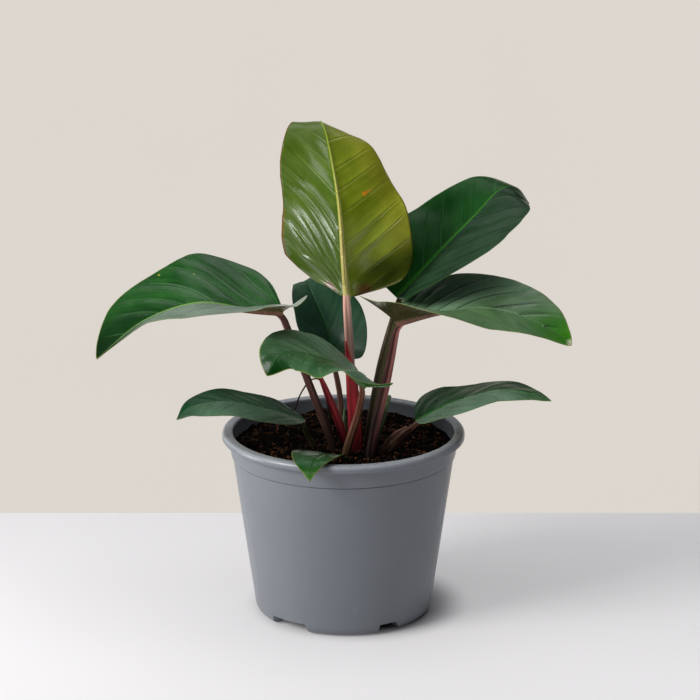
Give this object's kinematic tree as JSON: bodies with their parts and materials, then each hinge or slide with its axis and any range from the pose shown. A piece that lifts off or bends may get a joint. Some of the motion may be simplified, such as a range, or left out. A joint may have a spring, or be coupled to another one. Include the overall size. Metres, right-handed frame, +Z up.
{
  "type": "potted red congo philodendron",
  "caption": "Potted red congo philodendron: broad glossy leaves on long red-brown stalks, rising from dark soil in a round tapered nursery pot.",
  "frame": {"origin": "centre of the pot's flat base, on the surface the pot stands on", "axes": "+Z up along the pot's axis, -Y towards the front, +X to the right seen from the front"},
  "size_m": [0.3905, 0.2193, 0.4135],
  "materials": {
    "blade_olive": "glossy olive leaf, yellow-green towards one edge, with a pale raised midrib",
    "blade_green": "glossy deep green leaf with fine side veins and a light green midrib",
    "blade_dark": "glossy dark blue-green leaf",
    "stalk_pink": "smooth pink-tan leaf stalk",
    "stalk_brown": "smooth red-brown leaf stalk",
    "stalk_olive": "smooth olive-brown leaf stalk",
    "bud_scale": "smooth crimson bud scale",
    "green_stub": "pale green cut stalk",
    "dry_sheath": "dry papery brown sheath",
    "air_root": "thin dark aerial root",
    "crown": "rough brown stem base",
    "soil": "dark moist coco peat with small lumps",
    "pot": "satin mid-grey moulded plastic"
  },
  "bodies": {
    "root": {"leaf_upright": "blade_olive", "stalk_upright": "stalk_pink", "leaf_rear_right": "blade_green", "stalk_rear_right": "stalk_olive", "leaf_right": "blade_green", "stalk_right": "stalk_brown", "leaf_left": "blade_green", "stalk_left": "stalk_brown", "leaf_rear": "blade_dark", "stalk_rear": "stalk_brown", "leaf_front": "blade_green", "stalk_front": "stalk_brown", "leaf_low_left": "blade_dark", "stalk_low_left": "stalk_olive", "leaf_low_right": "blade_green", "stalk_low_right": "stalk_brown", "leaf_small_front": "blade_green", "stalk_small_front": "stalk_olive", "bud_scale_right": "bud_scale", "bud_scale_left": "bud_scale", "green_stub": "green_stub", "green_bud": "green_stub", "dry_sheath": "dry_sheath", "air_root": "air_root", "crown": "crown", "soil": "soil", "pot": "pot"}
  },
  "joints": []
}
